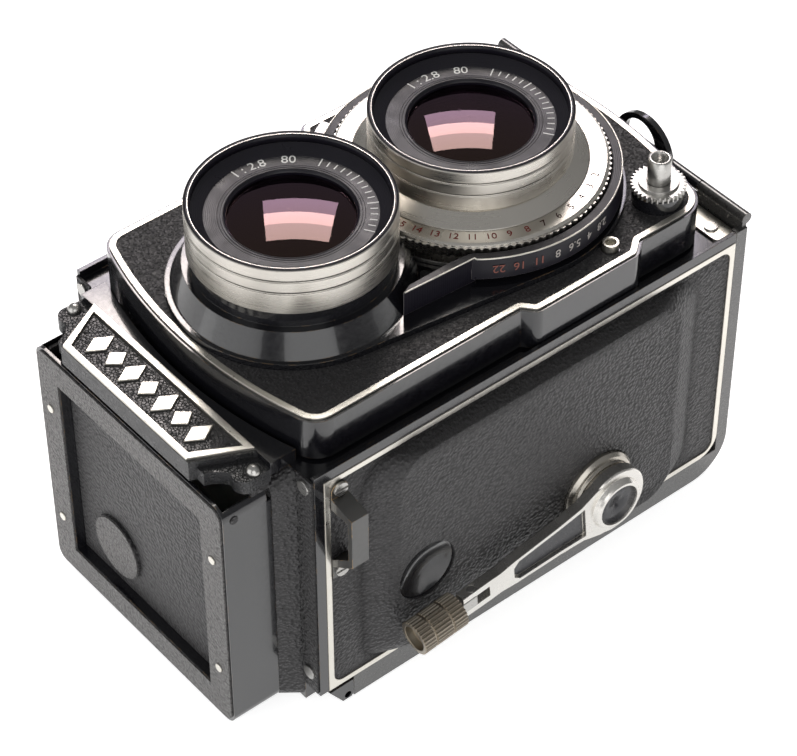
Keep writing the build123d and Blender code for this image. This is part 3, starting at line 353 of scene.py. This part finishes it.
def take_mesh(bm, name):
    """Closes a bmesh into a new mesh with its faces turned outwards."""
    bmesh.ops.recalc_face_normals(bm, faces=bm.faces)
    mesh = bpy.data.meshes.new(name)
    bm.to_mesh(mesh)
    bm.free()
    return mesh


def evaluated(name, curve):
    """The mesh of a curve or a text."""
    source = bpy.data.objects.new(name + "_source", curve)
    bpy.context.scene.collection.objects.link(source)
    bpy.context.view_layer.update()
    mesh = bpy.data.meshes.new_from_object(source.evaluated_get(bpy.context.evaluated_depsgraph_get()))
    bpy.data.objects.remove(source)
    return mesh


def turned(name, centre, profile, body, slot_name, look=None, steps=128, along_x=False):
    """A closed ring from (radius, place along the axis) points.

    The axis runs along Y through centre (x, z), or along X through centre (y, z).
    """
    bm = bmesh.new()
    rows = []
    for k in range(steps):
        a = 2 * pi * k / steps
        row = []
        for r, depth in profile:
            spot = Vector((centre[0] + r * cos(a), depth, centre[1] + r * sin(a))) * MM
            row.append(bm.verts.new((spot.y, spot.x, spot.z) if along_x else spot))
        rows.append(row)
    n = len(profile)
    for k in range(steps):
        here, there = rows[k], rows[(k + 1) % steps]
        for i in range(n):
            bm.faces.new((here[i], here[(i + 1) % n], there[(i + 1) % n], there[i]))
    mesh = take_mesh(bm, name)
    for face in mesh.polygons:
        face.use_smooth = True
    return piece(name, mesh, body, slot_name, look)


def wire(name, points, radius, body, slot_name):
    """A round open line through points."""
    curve = bpy.data.curves.new(name, "CURVE")
    curve.dimensions = "3D"
    curve.bevel_depth = radius * MM
    curve.bevel_resolution = 3
    spline = curve.splines.new("POLY")
    spline.points.add(len(points) - 1)
    for spline_point, p in zip(spline.points, points):
        spline_point.co = (p[0] * MM, p[1] * MM, p[2] * MM, 1)
    return piece(name, evaluated(name, curve), body, slot_name)


def figure(name, text, size, matrix, body, slot_name, look):
    """A number as a thin solid, its own plane placed by matrix (metres)."""
    curve = bpy.data.curves.new(name, "FONT")
    curve.body = text
    curve.size = size * MM
    curve.extrude = 0.03 * MM
    curve.align_x = "CENTER"
    curve.align_y = "CENTER"
    mesh = evaluated(name, curve)
    mesh.transform(matrix)
    return piece(name, mesh, body, slot_name, look)


def prism(name, corners, thick, matrix, body, slot_name, look=None, rim=0.08):
    """A flat shape with bevelled rims, its own plane placed by matrix (metres)."""
    bm = bmesh.new()
    ring = [bm.verts.new((x * MM, y * MM, 0)) for x, y in corners]
    face = bm.faces.new(ring)
    raised = bmesh.ops.extrude_face_region(bm, geom=[face])
    top = [v for v in raised["geom"] if isinstance(v, bmesh.types.BMVert)]
    bmesh.ops.translate(bm, verts=top, vec=(0, 0, thick * MM))
    bmesh.ops.bevel(bm, geom=bm.edges[:], offset=rim * MM, segments=2, affect="EDGES", profile=0.5)
    mesh = take_mesh(bm, name)
    mesh.transform(matrix)
    return piece(name, mesh, body, slot_name, look)


def shift(x, y, z):
    return Matrix.Translation(Vector((x, y, z)) * MM)


UPRIGHT = Matrix.Rotation(pi / 2, 4, "X")   # stands a flat shape up, facing forward


def on_face(axis_z, radius, angle, y, outward):
    """Matrix for a figure on a ring's front face, its foot to the axis if outward."""
    a = radians(angle)
    turn = a - pi / 2 if outward else a + pi / 2
    place = shift(radius * cos(a), y, axis_z + radius * sin(a))
    return place @ Matrix.Rotation(turn, 4, (0, -1, 0)) @ UPRIGHT


def on_rim(axis_z, radius, angle, y):
    """Matrix for a figure round the outside of a ring, its top towards the body."""
    a = radians(angle)
    out = Vector((cos(a), 0, sin(a)))
    up = Vector((0, 1, 0))
    basis = Matrix((up.cross(out), up, out)).transposed().to_4x4()
    return shift(radius * cos(a), y, axis_z + radius * sin(a)) @ basis


def hoop(inner, outer, fore, back):
    """Profile of a ring of rectangular section."""
    return [(inner, fore), (outer, fore), (outer, back), (inner, back)]


def disc(x, y, radius, points):
    """Outline of a round flat shape."""
    turns = [2 * pi * i / points for i in range(points)]
    return [(x + radius * cos(a), y + radius * sin(a)) for a in turns]


# ---- Pieces -----------------------------------------------------------------------------------
def lens_rings(label, axis_z, front):
    """Lining of the slip-on rim, three steps round the glass and two filled grooves outside."""
    lip, wall, skin = 20.86, 19.76, 19.60
    lining = [(lip, front - 0.03), (lip, front + 0.02), (wall, front + 0.35), (wall, front + 1.75),
              (skin, front + 1.75), (skin, front + 0.15), (20.3, front - 0.05)]
    turned(f"{label}_lining", (0, axis_z), lining, "front_standard", "black_ring")
    for k, inner in enumerate((13.25, 13.8, 14.35)):
        step = hoop(inner, inner + 0.13, front + 3.36 + 0.05 * k, front + 3.6)
        turned(f"{label}_step_{k}", (0, axis_z), step, "front_standard", "black_ring")
    bottom = 20.61
    for k, depth in enumerate((5.8, 2.9)):
        y = front + depth
        dark = hoop(bottom, 20.75, y - 0.28, y)
        bright = hoop(bottom, 20.97, y + 0.01, y + 0.29)
        turned(f"{label}_groove_line_{k}", (0, axis_z), dark, "front_standard", "inner_black")
        turned(f"{label}_groove_fill_{k}", (0, axis_z), bright, "front_standard", "nickel")


def band_edge():
    """Bright edge of the stop scale's band and of the two walls that run up from it."""
    edge_r = 30.9
    arc = []
    for angle in range(38, -219, -2):
        a = radians(angle)
        arc.append((edge_r * cos(a), BAND_FRONT + 0.05, TAKE_Z + edge_r * sin(a)))
    walls = [[(s * 22.8, BAND_FRONT, 78.6), (s * 23.7, BAND_FRONT, 61.6)] for s in (1, -1)]
    wire("band_edge", walls[0] + arc + walls[1][::-1], 0.17, "front_standard", "bright_trim")


def corner_leathers():
    """Leather in the two corners between the lens mounts."""
    taking_r, viewing_r = 29.3, 25.0
    xs = (15.2, 16.5, 18.0, 19.6, 21.2)
    for k, s in enumerate((-1, 1)):
        lower = [(s * x, TAKE_Z + (taking_r ** 2 - x * x) ** 0.5) for x in xs]
        upper = [(s * x, VIEW_Z - (viewing_r ** 2 - x * x) ** 0.5) for x in reversed(xs)]
        prism(f"corner_leather_{k}", lower + upper, 0.4, shift(0, -44.55, 0) @ UPRIGHT, "front_standard",
              "leather")


def speed_figures():
    """Exposure values on the speed ring's face."""
    face_y, ring_r = -52.02, 26.0
    for k, value in enumerate(range(2, 16)):
        place = on_face(TAKE_Z, ring_r, 215.0 - 8.3 * k, face_y, False)
        look = dark_fill if value < 8 else red_fill
        figure(f"speed_figure_{value}", str(value), 2.35, place, "speed_ring", "nickel", look)


def stop_figures():
    """Stops round the fixed band."""
    band_r, middle_y = 31.22, -48.0
    for k, value in enumerate(("22", "16", "11", "8", "5.6", "4", "2.8")):
        place = on_rim(TAKE_Z, band_r, 150.0 + 7.8 * k, middle_y)
        look = rust_fill if k < 3 else grey_fill
        name = "stop_figure_" + value.replace(".", "_")
        figure(name, value, 2.7, place, "front_standard", "black_ring", look)


def ring_figures(label, axis_z, front, start):
    """Generic figures and ticks on the ring round a glass, running down from the start angle."""
    mid_r = 16.1
    for value, turn in (("1", 0), (":", 7), ("2.8", 18), ("80", 41)):
        place = on_face(axis_z, mid_r, start - turn, front + 3.47, True)
        figure(f"{label}_ring_figure_{turn}", value, 3.1, place, "front_standard", "black_ring", white_fill)
    for k in range(16):
        place = on_face(axis_z, mid_r, start - 64.0 - 6.0 * k, front + 3.5, True)
        half = 0.75 if k % 5 else 1.15
        tick = [(-0.14, -half), (0.14, -half), (0.14, half), (-0.14, half)]
        prism(f"{label}_ring_tick_{k}", tick, 0.05, place, "front_standard", "black_ring", white_fill, 0.02)


def nameplate_lozenges():
    """Row of lozenges in place of lettering."""
    count, pitch, half_width = 7, 5.4, 2.2
    for k in range(count):
        x = (k - count // 2) * pitch
        half_z = 2.7 if k % 2 else 3.6
        corners = [(x - half_width, 0), (x, -half_z), (x + half_width, 0), (x, half_z)]
        prism(f"nameplate_lozenge_{k}", corners, 0.55, shift(0, -35.78, 124.3) @ UPRIGHT, "root",
              "bright_trim", rim=0.15)


def crank_fills():
    """Dark inlay in the crank arm's sunk middle and the dark dish in its hub."""
    lean = radians(5.5)
    along = Vector((0, sin(lean), cos(lean)))
    forward = Vector((0, -cos(lean), sin(lean)))
    basis = Matrix((along, -forward, Vector((-1, 0, 0)))).transposed().to_4x4()
    half = [(8.5, 4.0), (10.0, 3.8), (15.0, 3.3), (26.4, 2.5), (27.8, 1.2)]
    outline = half + [(x, -y) for x, y in reversed(half)]
    prism("crank_inlay", outline, 0.2, shift(-46.75, CRANK_Y, CRANK_Z) @ basis, "crank", "grey_enamel",
          dish_black)
    dish = [(0.05, -47.85), (0.05, -48.0), (2.6, -48.2), (4.86, -48.82), (4.86, -48.6), (2.6, -48.0)]
    turned("crank_hub_dish", (CRANK_Y, CRANK_Z), dish, "crank", "grey_enamel", dish_black, along_x=True)


def release_plunger():
    """The release button with its hollow end. It stands in for the CAD solid, which is taller."""
    outer, bore, pin = 2.45, 1.55, 0.05
    base, shoulder, tip, bottom = -42.0, -53.8, -54.1, -48.5
    profile = [(outer, base), (outer, shoulder), (2.2, tip), (1.75, tip), (bore, shoulder), (bore, bottom),
               (pin, bottom), (pin, base)]
    button = turned("release_plunger", (RELEASE_X, RELEASE_Z), profile, "release_button", "steel", steps=64)
    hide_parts("release_button")


def lid_fittings():
    """Rivets and the round leather pad on the hood lid."""
    lid_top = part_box("lid_leather")[1][2] / MM
    pad_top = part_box("finder_flap")[1][2] / MM
    spots = [(x, y) for x in (-27.2, 27.2) for y in (-14.0, 17.7)]
    for k, (x, y) in enumerate(spots):
        prism(f"lid_rivet_{k}", disc(x, y, 1.0, 16), 0.45, shift(0, 0, lid_top - 0.12), "lid",
              "bright_trim", rim=0.2)
    # The pad takes the lid's lit leather: its lighter colour is painted light.
    prism("lid_pad", disc(10.2, 14.6, 7.3, 48), 0.3, shift(0, 0, pad_top - 0.02), "lid", "leather",
          lit_lid_leather, 0.1)


for label, axis_z, front in LENSES:
    lens_rings(label, axis_z, front)
band_edge()
corner_leathers()
speed_figures()
stop_figures()
for (label, axis_z, front), start in zip(LENSES, (5.0, 8.0)):
    ring_figures(label, axis_z, front, start)
nameplate_lozenges()
crank_fills()
release_plunger()
lid_fittings()


# ---- Studio -----------------------------------------------------------------------------------
# Lengths are in metres from here on.
FLOOR_REACH = 3.0
FLOOR_GAP = 0.0002                  # from the object's box to the floor
MIDDLE = Vector((0, 0, 0.06))       # what the lights are aimed at


def floor(name, corner, wanted):
    """A pale sweep, clear from behind: wanted is +1 for an upright view, -1 for one lying on its back.

    The corner function gives the place of a corner from its two signs.
    """
    mesh = bpy.data.meshes.new(name)
    signs = ((-1, -1), (1, -1), (1, 1), (-1, 1))
    mesh.from_pydata([corner(a * FLOOR_REACH, b * FLOOR_REACH) for a, b in signs], [], [(0, 1, 2, 3)])
    obj = bpy.data.objects.new(name, mesh)
    bpy.context.scene.collection.objects.link(obj)
    g = Graph(name)
    g.set(Base_Color=g.mix(g.noise(3), (0.86, 0.86, 0.86), (0.9, 0.9, 0.9)), Roughness=0.7)
    seen = g.add("ShaderNodeLightPath").outputs["Is Camera Ray"]
    g.set(Emission_Color=(1, 1, 1), Emission_Strength=g.span(seen, 0.0, 1.0, 0.70, 0.72))
    up = g.add("ShaderNodeVectorTransform", vector_type="VECTOR")
    up.convert_from = "WORLD"
    up.convert_to = "CAMERA"
    up.inputs[0].default_value = (0, 0, 1)
    parts = g.add("ShaderNodeSeparateXYZ")
    g.link(up.outputs[0], parts.inputs[0])
    shown = g.math("GREATER_THAN", g.math("MULTIPLY", parts.outputs["Y"], wanted), 0.0)
    behind = g.add("ShaderNodeNewGeometry").outputs["Backfacing"]
    shown = g.math("MULTIPLY", shown, g.math("SUBTRACT", 1.0, behind))
    clear = g.add("ShaderNodeBsdfTransparent")
    blend = g.add("ShaderNodeMixShader")
    g.link(shown, blend.inputs[0])
    g.link(clear.outputs[0], blend.inputs[1])
    g.link(g.bsdf.outputs[0], blend.inputs[2])
    g.link(blend.outputs[0], g.out.inputs[0])
    mesh.materials.append(g.mat)


def softbox(name, place, size, power, side=None, lift=0.0, colour=(1, 1, 1)):
    """An area light aimed at the object's middle.

    Its width lies along side, level if that is left out, and lift moves it along its height.
    """
    light = bpy.data.lights.new(name, "AREA")
    light.shape = "RECTANGLE"
    light.size, light.size_y = size
    light.energy = power
    light.color = colour
    obj = bpy.data.objects.new(name, light)
    back = (Vector(place) - MIDDLE).normalized()
    across = side or Vector((0, 0, 1)).cross(back)
    across = (across - across.dot(back) * back).normalized()
    turn = Matrix((across, back.cross(across), back)).transposed().to_4x4()
    obj.matrix_world = Matrix.Translation(Vector(place) + lift * back.cross(across)) @ turn
    bpy.context.scene.collection.objects.link(obj)


def window(image_right):
    """The window seen in the lens glass: violet above, bright in the middle, warm below."""
    panes = {
        "window_top": (0.15, 0.132, 0.85, (0.86, 0.8, 0.95)),
        "window_middle": (0.115, 0.0, 2.0, (1.0, 0.9, 0.85)),
        "window_low": (0.15, -0.132, 1.5, (0.95, 0.92, 0.88)),
    }
    for name, (height, lift, power, colour) in panes.items():
        softbox(name, (0.50, -0.70, -0.33), (0.34, height), power, image_right, lift, colour)


def studio_room():
    """White to the camera, a soft graded room to everything else: brighter in front of the lenses."""
    world = bpy.data.worlds.new("studio")
    bpy.context.scene.world = world
    world.use_nodes = True
    tree = world.node_tree
    room = tree.nodes["Background"]
    room.inputs[0].default_value = (1, 1, 1, 1)
    aim = tree.nodes.new("ShaderNodeTexCoord")
    split = tree.nodes.new("ShaderNodeSeparateXYZ")
    tree.links.new(aim.outputs["Generated"], split.inputs[0])
    grade = tree.nodes.new("ShaderNodeMapRange")
    for socket, value in zip(grade.inputs[1:5], (-1.0, 0.6, 0.34, 0.10)):
        socket.default_value = value
    tree.links.new(split.outputs["Y"], grade.inputs[0])
    path = tree.nodes.new("ShaderNodeLightPath")
    pick = tree.nodes.new("ShaderNodeMix")
    tree.links.new(path.outputs["Is Camera Ray"], pick.inputs[0])
    tree.links.new(grade.outputs[0], pick.inputs[2])
    pick.inputs[3].default_value = 1.0
    tree.links.new(pick.outputs[0], room.inputs[1])
    bpy.context.scene.view_settings.view_transform = "Standard"


def place_camera(image_right):
    """The camera looks down on the object as it lies on its back."""
    image_down = Vector((-0.53287, 0.7217, 0.44181))
    ahead = Vector((0.55739, 0.6922, -0.45845))
    view = bpy.data.cameras.new("camera")
    view.sensor_width = 36.0
    view.lens = 134.2
    view.clip_start = 0.01
    camera = bpy.data.objects.new("camera", view)
    turn = Matrix((image_right, -image_down, -ahead)).transposed().to_4x4()
    camera.matrix_world = Matrix.Translation(Vector((-0.3512, -0.4365, 0.3503))) @ turn
    bpy.context.scene.collection.objects.link(camera)
    bpy.context.scene.camera = camera


low, high = cad_box
floor("floor_upright", lambda a, b: (a, b, low[2] - FLOOR_GAP), 1.0)
floor("floor_lying", lambda a, b: (a, high[1] + FLOOR_GAP, b), -1.0)
across_image = Vector((-0.63669, 0.00196, -0.77112))
window(across_image)
softbox("left_box", (-0.75, -0.30, 0.45), (1.0, 0.7), 3.4)
softbox("hood_box", (0.15, -0.25, 0.85), (0.9, 0.8), 3.0)
studio_room()
place_camera(across_image)
